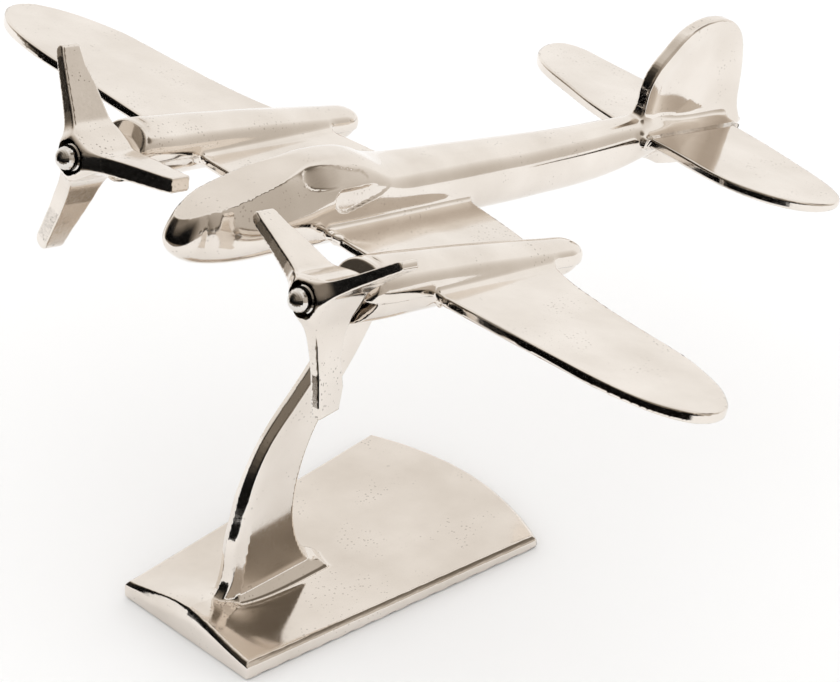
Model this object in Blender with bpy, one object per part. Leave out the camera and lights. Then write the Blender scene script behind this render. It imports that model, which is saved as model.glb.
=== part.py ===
"""Propeller plane model: a polished cast twin-engine aeroplane on a curved strut and a fan-shaped base.

World frame in metres: +X is the aircraft's port side, the nose points to -Y, +Z is up, and the origin lies
on the base underside. Sizes below are in millimetres. The aircraft is modelled level, and then pitched nose
up about PIVOT.
"""

from math import cos, pi, radians, sin

import bmesh
import bpy
import numpy as np
from mathutils import Matrix, Vector

MM = 0.001
GAP = 0.3  # clearance left between neighbouring pieces
MERGE = 0.000001  # metres; joins only the points that a spin puts on its own axis
SMOOTH_BELOW = radians(32.0)

# --- attitude ---------------------------------------------------------------
PITCH = radians(14.9)
PIVOT = np.array([0.0, 0.0, 140.0])

# --- fuselage ---------------------------------------------------------------
FUSELAGE = [  # Y, centre Z, half width, half height up, half height down
    (-69.6, 143.6, 1.6, 1.6, 2.0),
    (-69.0, 144.0, 2.8, 3.0, 4.0),
    (-67.5, 145.0, 4.4, 4.6, 6.2),
    (-65.0, 145.6, 6.2, 5.4, 8.6),
    (-60.0, 145.8, 8.4, 7.0, 11.1),
    (-50.0, 146.3, 12.4, 9.2, 12.6),
    (-38.0, 146.8, 14.6, 11.6, 12.8),
    (-20.0, 147.2, 14.8, 12.4, 12.8),
    (5.0, 147.5, 14.0, 12.3, 12.7),
    (30.0, 147.5, 12.7, 12.0, 12.1),
    (55.0, 147.6, 11.6, 11.4, 11.4),
    (80.0, 147.7, 10.6, 10.8, 10.9),
    (105.0, 148.0, 9.3, 10.2, 10.4),
    (130.0, 149.0, 8.0, 9.6, 9.6),
    (155.0, 151.0, 6.6, 7.8, 6.4),
    (178.0, 152.0, 4.8, 5.2, 3.6),
    (196.0, 151.6, 3.6, 3.4, 2.8),
    (203.0, 151.4, 2.6, 2.6, 2.4),
    (206.0, 151.2, 1.2, 1.3, 1.3),
]
CANOPY_FROM, CANOPY_TO = -36.0, 20.0
CANOPY_TOP, CANOPY_HALF_WIDTH, CANOPY_SILL = 166.0, 9.4, 152.0

# --- wings ------------------------------------------------------------------
SEMI_SPAN = 169.3
WING_TOP_Z, WING_DIHEDRAL = 144.4, 0.024
WING_STATIONS = [  # X, leading edge Y, trailing edge Y
    (6, -12.6, 58.4),
    (30, -13.4, 53.2),
    (56, -13.8, 46.4),
    (75, -13.7, 39.2),
    (95, -13.0, 35.4),
    (120, -12.3, 32.6),
    (136, -11.6, 31.0),
    (148, -9.8, 27.4),
    (157, -6.8, 23.4),
    (163.5, -2.6, 18.6),
    (167.4, 1.4, 14.4),
    (169.3, 6.4, 9.6),
]
WING_EDGE = 1.6  # half thickness of the rounded leading edge

# --- engine nacelles --------------------------------------------------------
SIDES = ((1, "port"), (-1, "starboard"))
ENGINE_X = 56.4
SHAFT_Z = 146.5
NACELLE_FRONT = -41.6
NACELLE = [  # Y, centre Z, half width, half height
    (NACELLE_FRONT, 145.3, 10.6, 9.6),
    (-40.6, 145.3, 11.2, 10.1),
    (-30.0, 145.2, 11.1, 10.3),
    (-15.0, 145.0, 10.4, 9.9),
    (5.0, 144.8, 9.3, 9.0),
    (25.0, 144.5, 8.2, 8.0),
    (45.0, 144.1, 7.0, 7.0),
    (57.0, 143.6, 6.2, 6.2),
    (62.5, 143.2, 4.9, 5.0),
    (65.5, 143.0, 2.6, 2.8),
]

# --- tail -------------------------------------------------------------------
TAILPLANE_Z = 153.0
TAILPLANES = {  # side: X, leading edge Y, trailing edge Y. The two castings differ.
    1: [
        (3, 147.3, 192.4),
        (28, 147.4, 189.8),
        (42, 147.6, 187.8),
        (54, 150.2, 185.8),
        (61.6, 154.0, 183.8),
        (68, 159.4, 181.0),
        (71.2, 164.0, 178.2),
        (73.0, 168.6, 175.0),
        (73.6, 171.0, 172.8),
    ],
    -1: [
        (3, 147.0, 192.0),
        (15, 148.8, 191.2),
        (28, 151.4, 190.2),
        (46, 156.7, 189.7),
        (54, 159.2, 189.5),
        (60.6, 162.4, 189.2),
        (66, 167.0, 188.3),
        (69, 171.4, 186.6),
        (70.8, 175.6, 184.2),
        (71.6, 178.6, 181.4),
    ],
}
TAILPLANE_EDGE = 1.7
FIN = [  # Z, leading edge Y, trailing edge Y
    (151, 148.6, 201.0),
    (156, 147.8, 201.2),
    (163, 148.6, 199.8),
    (170, 149.0, 198.4),
    (177, 151.8, 196.8),
    (183, 157.2, 194.8),
    (188, 162.6, 191.0),
    (191, 168.2, 187.0),
    (192.6, 174.4, 182.6),
]
FIN_EDGE, FIN_SHARE = 2.5, 0.72

# --- propellers -------------------------------------------------------------
PORT_BLADES = [(161.0, 38.2), (38.4, 37.6), (281.0, 40.0)]  # angle from +X towards +Z in degrees, tip radius
STARBOARD_BLADES = [(129.0, 37.6), (8.0, 39.8), (249.0, 42.6)]
HUB_FRONT, HUB_REAR, HUB_RADIUS = -61.4, -43.5, 6.4
VANE_FRONT_TIP, VANE_REAR_TIP = -55.0, -46.2
VANE_HALF_ROOT, VANE_HALF_TIP = 3.4, 2.0
BORE, RUNNING_BORE, SHANK = 2.3, 2.08, 2.0
HEAD_RADIUS, HEAD_BACK, HEAD_LIP = 4.0, -63.4, 0.8
COLLAR_RADIUS, COLLAR_ROUND = 4.7, 0.4
SPACER_RADIUS = 5.4
PIN_END = -24.0

# --- strut: front point, rear point (Y, Z) and half width ---------------------
STRUT = [
    (-49.6, 1.0, 3.0, 1.0, 8.0),
    (-47.6, 9.0, -5.0, 9.0, 7.0),
    (-45.6, 15.0, -10.4, 15.0, 6.0),
    (-43.9, 21.0, -13.2, 21.0, 5.2),
    (-42.2, 30.0, -14.9, 30.0, 4.6),
    (-40.0, 37.0, -14.4, 39.0, 4.2),
    (-36.0, 46.5, -12.2, 47.0, 3.9),
    (-30.4, 57.0, -8.0, 55.6, 3.5),
    (-22.4, 67.4, -1.8, 64.4, 3.2),
    (-12.2, 76.8, 6.2, 73.2, 3.0),
    (-1.2, 87.0, 15.0, 83.0, 3.0),
    (9.4, 98.0, 24.2, 93.6, 3.1),
    (19.4, 109.0, 33.4, 104.4, 3.4),
    (28.8, 120.0, 42.6, 115.2, 3.9),
    (37.4, 131.0, 51.4, 126.2, 4.4),
]
STUD_RADIUS, STUD_HOLE, STUD_UP, STUD_DOWN, STUD_JOINT = 1.5, 1.8, 8.0, 11.0, 3.0

# --- base -------------------------------------------------------------------
BASE_FRONT_Y, BASE_REAR_Y, BASE_REAR_BULGE = -61.5, 62.5, 10.0
BASE_FRONT_HALF, BASE_REAR_HALF = 31.4, 42.6
BASE_FRONT_T, BASE_REAR_T = 6.3, 4.5
BASE_CREST, BASE_CREST_END, BASE_EDGE = 5.9, -18.0, 0.5
PLINTH_HALF, PLINTH_FRONT, PLINTH_REAR, PLINTH_RISE, PLINTH_CHAMFER = 9.0, -48.5, -3.0, 2.3, 2.4
SCREWS_Y = (-36.0, -17.0)
SCREW_SHANK, SCREW_HOLE, SCREW_HEAD, SCREW_RECESS = 2.0, 2.3, 3.8, 4.2
SCREW_SUNK, SCREW_HEAD_HEIGHT, SCREW_TOP = 0.5, 1.9, 15.0


def clear():
    for obj in list(bpy.data.objects):
        bpy.data.objects.remove(obj, do_unlink=True)
    bpy.context.scene.unit_settings.scale_length = 1.0


def material(name, colour, metallic, roughness):
    mat = bpy.data.materials.new(name)
    mat.use_nodes = True
    shader = mat.node_tree.nodes["Principled BSDF"]
    shader.inputs["Base Color"].default_value = (*colour, 1.0)
    shader.inputs["Metallic"].default_value = metallic
    shader.inputs["Roughness"].default_value = roughness
    mat.diffuse_color = (*colour, 1.0)
    return mat


def curve(rows, column, at, key=0):
    """Monotone cubic through the rows, so that a station list gives a smooth contour without overshoot."""
    x = np.array([r[key] for r in rows], float)
    y = np.array([r[column] for r in rows], float)
    h, d = np.diff(x), np.diff(y) / np.diff(x)
    m = np.zeros(len(x))
    m[0], m[-1] = d[0], d[-1]
    for i in range(1, len(x) - 1):
        if d[i - 1] * d[i] > 0:
            a, b = 2 * h[i] + h[i - 1], h[i] + 2 * h[i - 1]
            m[i] = (a + b) / (a / d[i - 1] + b / d[i])
    at = np.clip(np.asarray(at, float), x[0], x[-1])
    i = np.clip(np.searchsorted(x, at) - 1, 0, len(x) - 2)
    t = (at - x[i]) / h[i]
    return (
        y[i] * (1 + 2 * t) * (1 - t) ** 2
        + y[i + 1] * t * t * (3 - 2 * t)
        + h[i] * (m[i] * t * (1 - t) ** 2 - m[i + 1] * t * t * (1 - t))
    )


def pitched(points):
    p = np.asarray(points, float) - PIVOT
    c, s = cos(PITCH), sin(PITCH)
    out = np.stack([p[:, 0], c * p[:, 1] + s * p[:, 2], -s * p[:, 1] + c * p[:, 2]], 1)
    return out + PIVOT


def add_object(name, bm, mat):
    """Turns the faces outwards, shades the round parts smooth and links the object."""
    bmesh.ops.recalc_face_normals(bm, faces=bm.faces)
    mesh = bpy.data.meshes.new(name)
    bm.to_mesh(mesh)
    bm.free()
    mesh.materials.append(mat)
    mesh.shade_smooth()
    mesh.set_sharp_from_angle(angle=SMOOTH_BELOW)
    obj = bpy.data.objects.new(name, mesh)
    bpy.context.scene.collection.objects.link(obj)
    return obj


def loft(name, rings, mat, pitch=True):
    """Closed skin through rings of equal length, capped at both ends."""
    bm = bmesh.new()
    rows = []
    for ring in rings:
        points = pitched(ring) if pitch else np.asarray(ring, float)
        rows.append([bm.verts.new(p * MM) for p in points])
    for row, following in zip(rows, rows[1:]):
        for i in range(len(row)):
            j = (i + 1) % len(row)
            bm.faces.new((row[i], row[j], following[j], following[i]))
    bm.faces.new(rows[0])
    bm.faces.new(rows[-1])
    return add_object(name, bm, mat)


def spun(name, profile, place, mat, sides=28):
    """Turned solid from (height on the axis, radius) points; a profile clear of the axis makes a ring."""
    bm = bmesh.new()
    verts = [bm.verts.new((r * MM, 0.0, h * MM)) for h, r in profile]
    pairs = list(zip(verts, verts[1:]))
    if min(r for _, r in profile) > 0:
        pairs.append((verts[-1], verts[0]))
    edges = [bm.edges.new(pair) for pair in pairs]
    bmesh.ops.spin(
        bm, geom=verts + edges, cent=(0, 0, 0), axis=(0, 0, 1), angle=2 * pi, steps=sides, use_merge=True
    )
    bmesh.ops.remove_doubles(bm, verts=bm.verts, dist=MERGE)
    bmesh.ops.transform(bm, matrix=place, verts=bm.verts)
    return add_object(name, bm, mat)


def cutter(obj):
    obj.hide_render = True
    obj.display_type = "WIRE"
    return obj


def boolean(obj, other, operation="DIFFERENCE"):
    mod = obj.modifiers.new(operation.title() + " " + other.name, "BOOLEAN")
    mod.operation = operation
    mod.solver = "EXACT"
    mod.object = other
    return mod


def on_shaft(side):
    """Frame whose axis is the propeller shaft, so that a height on it is the aircraft's Y."""
    centre = pitched([(side * ENGINE_X, 0.0, SHAFT_Z)])[0] * MM
    return Matrix.Translation(centre) @ Matrix.Rotation(-PITCH - pi / 2, 4, "X")


def between(start, end):
    """Frame whose axis runs from one world point towards another."""
    start, end = Vector(start), Vector(end)
    turn = (end - start).to_track_quat("Z", "Y").to_matrix().to_4x4()
    return Matrix.Translation(start * MM) @ turn


# --- outlines ----------------------------------------------------------------
def fuselage_ring(y, grow=0.0, n=32):
    centre, half = curve(FUSELAGE, 1, y), curve(FUSELAGE, 2, y) + grow
    up, down = curve(FUSELAGE, 3, y) + grow, curve(FUSELAGE, 4, y) + grow
    t = np.clip((y - CANOPY_FROM) / (CANOPY_TO - CANOPY_FROM), 0, 1)
    lift = np.sin(pi * t ** 0.8) ** 0.6 if 0 < t < 1 else 0.0
    ring = []
    for i in range(n):
        a = 2 * pi * i / n
        c, s = cos(a), sin(a)
        high = up if s > 0 else down
        radius = (abs(c / half) ** 2.2 + abs(s / high) ** 2.2) ** (-1 / 2.2)
        if s > 0 and lift > 0:
            top = up + lift * (CANOPY_TOP + grow - centre - up)
            side = CANOPY_HALF_WIDTH + grow
            bubble = (abs(c / side) ** 3.0 + abs(s / top) ** 3.0) ** (-1 / 3.0)
            radius = max(radius, bubble)
        ring.append((radius * c, y, centre + radius * s))
    return ring


def fuselage(name, mat, grow=0.0):
    nose, middle, tail = (-69.6, -69.2, -68.3, -66.6), np.linspace(-64, 30, 21), np.linspace(42, 196, 12)
    ys = [*nose, *middle, *tail, 200, 203, 206]
    rings = [fuselage_ring(y, grow) for y in ys]
    if grow:
        rings[0] = [(p[0], p[1] - grow, p[2]) for p in rings[0]]
        rings[-1] = [(p[0], p[1] + grow, p[2]) for p in rings[-1]]
    return loft(name, rings, mat)


PLATE = [  # chord fraction and thickness share: nose, belly and tail of one side
    (0.0, 0.0), (0.006, 0.5), (0.02, 0.85), (0.05, 1.0), (0.15, 1.3), (0.3, 1.6), (0.45, 1.62),
    (0.6, 1.45), (0.75, 1.15), (0.88, 0.82), (0.97, 0.62), (1.0, 0.3),
]


def plate_ring(span, lead, trail, middle, half, place, grow=0.0):
    """Rounded plate section of a wing, tailplane or fin, at one spanwise station."""
    lead, trail, chord = lead - grow, trail + grow, trail - lead + 2 * grow
    upper = [(lead + u * chord, t * half + (grow if 0 < u < 1 else 0)) for u, t in PLATE]
    lower = [(y, -t) for y, t in reversed(upper[1:-1])]
    if PLATE[-1][1]:
        lower = [(upper[-1][0], -upper[-1][1])] + lower
    return [place(span, y, middle + t) for y, t in upper + lower]


def wing(name, side, mat, grow=0.0):
    inner = (6, 12, 20, 30, 43, 56, 66, 75, 85, 95, 108)
    outer = (120, 130, 138, 145, 151, 156, 160, 163.5, 166, 168, SEMI_SPAN)
    rings = []
    for x in inner + outer:
        near_tip = max(0.0, 1 - max(0.0, (x - 150) / (SEMI_SPAN + 0.8 - 150)) ** 2) ** 0.5
        near_root = 1 - min(1, max(0, x - 40) / 60)
        half = WING_EDGE * (0.55 + 0.45 * near_tip) * (1 + 0.25 * near_root)
        middle = WING_TOP_Z - WING_EDGE + WING_DIHEDRAL * x
        span = side * (x + (grow if x == SEMI_SPAN else 0) - (2 * grow if x == inner[0] else 0))
        rings.append(
            plate_ring(
                span, curve(WING_STATIONS, 1, x), curve(WING_STATIONS, 2, x), middle, half,
                lambda s, y, z: (s, y, z), grow,
            )
        )
    return loft(name, rings, mat)


def tailplane(name, side, mat, grow=0.0):
    rings = []
    stations = TAILPLANES[side]
    root, tip = stations[0][0], stations[-1][0]
    for share in [0, 0.07, 0.16, 0.26, 0.36, 0.46, 0.55, 0.64, 0.72, 0.78, 0.84, 0.88, 0.92, 0.95, 0.98, 1.0]:
        x = root + (tip - root) * share
        near_tip = max(0.0, 1 - max(0.0, (share - 0.78) / 0.23) ** 2) ** 0.5
        half = TAILPLANE_EDGE * (0.5 + 0.5 * near_tip)
        rings.append(
            plate_ring(
                side * x, curve(stations, 1, x), curve(stations, 2, x), TAILPLANE_Z, half,
                lambda s, y, z: (s, y, z), grow,
            )
        )
    return loft(name, rings, mat)


def fin(name, mat, grow=0.0):
    rings = []
    for z in [151, 154, 158, 162, 166, 170, 174, 178, 182, 185, 188, 190, 191.6, 192.6]:
        near_tip = max(0.0, 1 - max(0.0, (z - 178) / (193.4 - 178)) ** 2) ** 0.5
        half = FIN_EDGE * (0.45 + 0.55 * near_tip)
        lead, trail = curve(FIN, 1, z), curve(FIN, 2, z)
        rings.append(plate_ring(z, lead, trail, 0.0, half * FIN_SHARE, lambda s, y, t: (t, y, s), grow))
    return loft(name, rings, mat)


def nacelle(name, side, mat):
    rings = []
    for y in [NACELLE_FRONT, -40.6, -36, -30, -22, -15, -5, 5, 15, 25, 35, 45, 52, 57, 60, 62.5, 64.4, 65.5]:
        z, a, b = (curve(NACELLE, k, y) for k in (1, 2, 3))
        rings.append(
            [(side * ENGINE_X + a * cos(2 * pi * i / 28), y, z + b * sin(2 * pi * i / 28)) for i in range(28)]
        )
    return loft(name, rings, mat)


def propeller(name, side, blades, mat):
    """Three radial vanes round a hub. Each vane is deep along the shaft, and webs run into its neighbours."""
    x0, z0 = side * ENGINE_X, SHAFT_Z
    angles = sorted(a for a, _ in blades)
    lengths = dict(blades)
    levels = [  # Y, share of the tip radius reached, share of vane thickness
        (HUB_FRONT, 0.30, 0.70),
        (-59.6, 0.42, 0.86),
        (-57.6, 0.62, 0.94),
        (-56.0, 0.84, 0.96),
        (VANE_FRONT_TIP, 0.985, 0.92),
        (-53.6, 1.0, 1.0),
        (-48.0, 1.0, 1.0),
        (VANE_REAR_TIP, 0.985, 0.92),
        (-45.0, 0.80, 0.96),
        (-44.2, 0.55, 0.94),
        (HUB_REAR, 0.34, 0.80),
    ]
    rings = []
    for y, reach, thick in levels:
        ring = []
        for k, angle in enumerate(angles):
            tip = max(lengths[angle] * reach, HUB_RADIUS + 4.2)
            nxt = angles[(k + 1) % 3] + (360 if k == 2 else 0)
            a = radians(angle)
            root, end = VANE_HALF_ROOT * thick, VANE_HALF_TIP * thick
            for radial, across in ((0.62, -1.0), (1.0 - 1.4 / tip, -1.0), (1.0, -0.45), (1.0, 0.45),
                                   (1.0 - 1.4 / tip, 1.0), (0.62, 1.0)):
                share = (radial * tip - HUB_RADIUS) / (lengths[angle] - HUB_RADIUS)
                width = (root + (end - root) * min(max(share, 0.0), 1.0)) * across
                r = radial * tip
                ring.append((r * cos(a) - width * sin(a), r * sin(a) + width * cos(a)))
            # the concave web between this vane and the next one
            half = radians(nxt - angle) / 2
            for share in (-0.5, 0.0, 0.5):
                b = a + half * (1 + share)
                r = (HUB_RADIUS + 0.6) * (1 + 0.55 * abs(share)) * (0.9 + 0.1 * thick)
                ring.append((r * cos(b), r * sin(b)))
        rings.append([(x0 + p[0], y, z0 + p[1]) for p in ring])
    return loft(name, rings, mat)


def strut_rings():
    rings = []
    n = 24
    for yf, zf, yr, zr, half in STRUT:
        front, rear = np.array([yf, zf]), np.array([yr, zr])
        middle, axis = (front + rear) / 2, (rear - front) / 2
        ring = []
        for i in range(n):
            a = 2 * pi * i / n
            c, s = cos(a), sin(a)
            radius = (abs(c) ** 4.0 + abs(s) ** 4.0) ** (-1 / 4.0)
            along, across = radius * c, radius * s
            p = middle + axis * along
            ring.append((half * across, p[0], p[1]))
        rings.append(ring)
    return rings


def base_top(x, y):
    t = np.clip((y - BASE_FRONT_Y) / (BASE_REAR_Y - BASE_FRONT_Y), 0, 1)
    flat = BASE_FRONT_T + (BASE_REAR_T - BASE_FRONT_T) * t
    fade = np.clip((y - BASE_FRONT_Y) / (BASE_CREST_END - BASE_FRONT_Y), 0, 1)
    fade = 1 - fade * fade * (3 - 2 * fade)
    across = np.clip(1 - (x / BASE_FRONT_HALF) ** 2, 0, 1) ** 1.6
    return flat + BASE_CREST * fade * across


def base_block(name, mat, lift=0.0, bottom=0.0):
    """Fan-shaped slab with a crowned front; lifted and sunk, it trims what stands on it."""
    bm = bmesh.new()
    along = [0, 0.012, *np.linspace(0.06, 0.94, 12), 0.99, 1.0]
    across = [-1, -0.975, *np.linspace(-0.88, 0.88, 13), 0.975, 1.0]
    top, under = [], []
    for u in along:
        top.append([])
        under.append([])
        for v in across:
            half = BASE_FRONT_HALF + (BASE_REAR_HALF - BASE_FRONT_HALF) * u
            rear = BASE_REAR_Y + BASE_REAR_BULGE * (1 - v * v)
            x, y = half * v, BASE_FRONT_Y + u * (rear - BASE_FRONT_Y)
            z = base_top(x, y) + lift
            if u in (0, 1.0) or abs(v) == 1:
                z -= BASE_EDGE
            top[-1].append(bm.verts.new((x * MM, y * MM, z * MM)))
            under[-1].append(bm.verts.new((x * MM, y * MM, bottom * MM)))
    for sheet in (top, under):
        for row, following in zip(sheet, sheet[1:]):
            for j in range(len(row) - 1):
                bm.faces.new((row[j], row[j + 1], following[j + 1], following[j]))
    rims = []
    for sheet in (top, under):
        left, right = [row[0] for row in sheet], [row[-1] for row in sheet]
        rims.append(sheet[0][:-1] + right[:-1] + sheet[-1][:0:-1] + left[:0:-1])
    for k in range(len(rims[0])):
        j = (k + 1) % len(rims[0])
        bm.faces.new((rims[0][k], rims[0][j], rims[1][j], rims[1][k]))
    return add_object(name, bm, mat)


def plinth_block(name, mat):
    """Low chamfered block round the strut's foot."""
    top = BASE_FRONT_T + PLINTH_RISE
    rings = []
    for z, inset in ((2.0, 0.0), (top - PLINTH_CHAMFER / 2, 0.0), (top + PLINTH_CHAMFER / 2, PLINTH_CHAMFER)):
        half, front, rear = PLINTH_HALF - inset, PLINTH_FRONT + inset, PLINTH_REAR - inset
        rings.append([(-half, front, z), (half, front, z), (half, rear, z), (-half, rear, z)])
    return loft(name, rings, mat, pitch=False)


# --- pieces --------------------------------------------------------------------
def airframe(cast):
    """Fuselage, wings, nacelles and tail: separate castings, each trimmed to clear its neighbour."""
    body = fuselage("fuselage", cast)
    body_clear = cutter(fuselage("cut_fuselage", cast, GAP))
    upright_fin = fin("fin", cast)
    fin_clear = cutter(fin("cut_fin", cast, GAP))
    boolean(upright_fin, body_clear)
    for side, word in SIDES:
        panel = wing("wing_" + word, side, cast)
        boolean(panel, body_clear)
        pod = nacelle("nacelle_" + word, side, cast)
        boolean(pod, cutter(wing("cut_wing_" + word, side, cast, GAP)))
        blind = [(HUB_REAR, 0.0), (HUB_REAR, BORE), (PIN_END + 1.0, BORE), (PIN_END + 1.0, 0.0)]
        boolean(pod, cutter(spun("cut_blind_" + word, blind, on_shaft(side), cast)))
        plane = tailplane("tailplane_" + word, side, cast)
        boolean(plane, body_clear)
        boolean(plane, fin_clear)
    return body, body_clear


def engine_pieces(side, word, blades, cast, steel):
    """Propeller, the dome-head pin it turns on, the collar in front of it and the spacer behind it."""
    place = on_shaft(side)
    blade_star = propeller("propeller_" + word, side, blades, cast)
    low, high = HEAD_BACK - 4, NACELLE_FRONT
    through = [(low, 0.0), (low, RUNNING_BORE), (high, RUNNING_BORE), (high, 0.0)]
    boolean(blade_star, cutter(spun("cut_bore_" + word, through, place, cast)))

    rim = HEAD_BACK - HEAD_LIP
    steps = [radians(90 - 10 * k) for k in range(10)]
    dome = [(rim - HEAD_RADIUS * sin(a), HEAD_RADIUS * cos(a) if a < steps[0] else 0.0) for a in steps]
    shank = [(HEAD_BACK, HEAD_RADIUS), (HEAD_BACK, SHANK), (PIN_END, SHANK), (PIN_END, 0.0)]
    spun("propeller_pin_" + word, dome + shank, place, steel)

    front, back = HEAD_BACK + GAP, HUB_FRONT - GAP
    collar = [(front, BORE), (front, COLLAR_RADIUS - COLLAR_ROUND), (front + COLLAR_ROUND, COLLAR_RADIUS),
              (back - COLLAR_ROUND, COLLAR_RADIUS), (back, COLLAR_RADIUS - COLLAR_ROUND), (back, BORE)]
    spun("collar_" + word, collar, place, steel)

    front, back = HUB_REAR + GAP, NACELLE_FRONT - GAP
    spacer = [(front, BORE), (front, SPACER_RADIUS), (back, SPACER_RADIUS), (back, BORE)]
    spun("spacer_" + word, spacer, place, steel)

    # the propeller turns about an empty on the shaft line
    axis = bpy.data.objects.new("axis_propeller_" + word, None)
    axis.matrix_world = place @ Matrix.Translation((0, 0, (HUB_FRONT + HUB_REAR) / 2 * MM))
    bpy.context.scene.collection.objects.link(axis)
    bpy.context.view_layer.update()
    blade_star.parent = axis
    blade_star.matrix_parent_inverse = axis.matrix_world.inverted()


def stand(body, body_clear, cast, zinc):
    """Base, strut and the hidden fixings between them and the fuselage."""
    base = base_block("stand_base", cast)
    strut = loft("stand_strut", strut_rings(), cast, pitch=False)
    boolean(strut, cutter(plinth_block("add_plinth", cast)), "UNION")
    boolean(strut, cutter(base_block("cut_base", cast, lift=GAP, bottom=-12.0)))
    boolean(strut, body_clear)

    # the stud follows the strut's upper end into the fuselage
    centres = [Vector((0.0, (r[0] + r[2]) / 2, (r[1] + r[3]) / 2)) for r in (STRUT[-3], STRUT[-1])]
    along = (centres[1] - centres[0]).normalized()
    joint = centres[1] - along * STUD_JOINT
    place = between(joint, centres[1])
    stud = [(-STUD_DOWN, 0.0), (-STUD_DOWN, STUD_RADIUS), (STUD_UP, STUD_RADIUS), (STUD_UP, 0.0)]
    spun("stand_stud", stud, place, zinc)
    low, high = -STUD_DOWN - 1, STUD_UP + 1
    hole = cutter(
        spun("cut_stud", [(low, 0.0), (low, STUD_HOLE), (high, STUD_HOLE), (high, 0.0)], place, zinc)
    )
    boolean(strut, hole)
    boolean(body, hole)

    for word, y in zip(("front", "rear"), SCREWS_Y):
        place = Matrix.Translation((0, y * MM, 0))
        low, neck, high = SCREW_SUNK, SCREW_SUNK + SCREW_HEAD_HEIGHT, SCREW_TOP
        head = [(low, 0.0), (low, SCREW_HEAD), (neck, SCREW_HEAD)]
        screw = head + [(neck, SCREW_SHANK), (high, SCREW_SHANK), (high, 0.0)]
        spun("foot_screw_" + word, screw, place, zinc)
        low, neck, high = -2.0, neck + GAP, high + 1
        recess = [(low, 0.0), (low, SCREW_RECESS), (neck, SCREW_RECESS)]
        hole = recess + [(neck, SCREW_HOLE), (high, SCREW_HOLE), (high, 0.0)]
        hole = cutter(spun("cut_screw_" + word, hole, place, zinc))
        boolean(base, hole)
        boolean(strut, hole)


def build():
    clear()
    cast = material("polished_cast_aluminium", (0.80, 0.78, 0.75), 1.0, 0.16)
    steel = material("polished_steel_pin", (0.70, 0.69, 0.67), 1.0, 0.12)
    zinc = material("hidden_steel_fixing", (0.52, 0.52, 0.50), 1.0, 0.35)
    body, body_clear = airframe(cast)
    for (side, word), blades in zip(SIDES, (PORT_BLADES, STARBOARD_BLADES)):
        engine_pieces(side, word, blades, cast, steel)
    stand(body, body_clear, cast, zinc)


build()
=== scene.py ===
# Looks of the propeller plane model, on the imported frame.
#
# Each cast skin is the zero level of a smooth distance field, so that welded castings run into each other
# with polished fillets. Sizes are in millimetres. The aircraft is shaped level, with its nose towards -Y, and
# is then pitched nose up about PIVOT. A point array p has one row per point. |X| is used wherever the two
# sides mirror. Elsewhere side is 1 for port, at +X, and -1 for starboard.

from math import cos, radians, sin

import bpy
import numpy as np
from mathutils import Matrix, Vector


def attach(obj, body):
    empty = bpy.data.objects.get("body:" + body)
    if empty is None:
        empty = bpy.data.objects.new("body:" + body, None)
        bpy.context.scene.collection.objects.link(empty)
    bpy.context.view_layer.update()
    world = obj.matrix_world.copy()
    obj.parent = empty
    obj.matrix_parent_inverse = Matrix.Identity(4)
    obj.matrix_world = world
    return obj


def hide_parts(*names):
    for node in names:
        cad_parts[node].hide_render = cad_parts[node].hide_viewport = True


MM = 0.001
REACH = 9.0  # how far round a shape its field is worked out
CELL = 0.8
PROPELLER_CELL = 0.6

PITCH = radians(14.9)
PIVOT = np.array([0.0, 0.0, 140.0])
ENGINE_X, SHAFT_Z = 56.4, 146.5

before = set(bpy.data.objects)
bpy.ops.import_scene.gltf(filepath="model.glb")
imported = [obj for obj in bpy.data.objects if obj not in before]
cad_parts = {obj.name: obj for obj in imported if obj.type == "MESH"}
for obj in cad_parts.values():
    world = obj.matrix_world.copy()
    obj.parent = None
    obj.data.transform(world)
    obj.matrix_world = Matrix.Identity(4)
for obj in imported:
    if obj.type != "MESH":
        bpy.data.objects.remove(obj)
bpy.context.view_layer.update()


# --- curves and outlines ------------------------------------------------------
def spline(points):
    """Natural cubic through (position, value) points, held level beyond its ends."""
    x, y = np.array(points, float).T
    h = np.diff(x)
    system = np.eye(len(x))
    right = np.zeros(len(x))
    for i in range(1, len(x) - 1):
        system[i, i - 1 : i + 2] = h[i - 1], 2 * (h[i - 1] + h[i]), h[i]
        right[i] = 6 * ((y[i + 1] - y[i]) / h[i] - (y[i] - y[i - 1]) / h[i - 1])
    bend = np.linalg.solve(system, right)

    def value(at):
        at = np.clip(at, x[0], x[-1])
        i = np.clip(np.searchsorted(x, at) - 1, 0, len(x) - 2)
        a, b, s = x[i + 1] - at, at - x[i], h[i]
        cubic = (bend[i] * a**3 + bend[i + 1] * b**3) / (6 * s)
        return cubic + (y[i] / s - bend[i] * s / 6) * a + (y[i + 1] / s - bend[i + 1] * s / 6) * b

    return value


def smooth_outline(points, per_span=6):
    """Closed polyline on the smooth curve through these corners."""
    ring = np.array(points, float)
    count = len(ring)
    wrapped = np.vstack([ring, ring, ring])
    steps = np.linalg.norm(np.diff(wrapped, axis=0), axis=1)
    along = np.concatenate([[0.0], np.cumsum(steps)])
    at = np.interp(np.arange(count, 2 * count, 1 / per_span), np.arange(len(wrapped)), along)
    return np.stack([spline(np.stack([along, wrapped[:, k]], 1))(at) for k in range(2)], 1)


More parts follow.
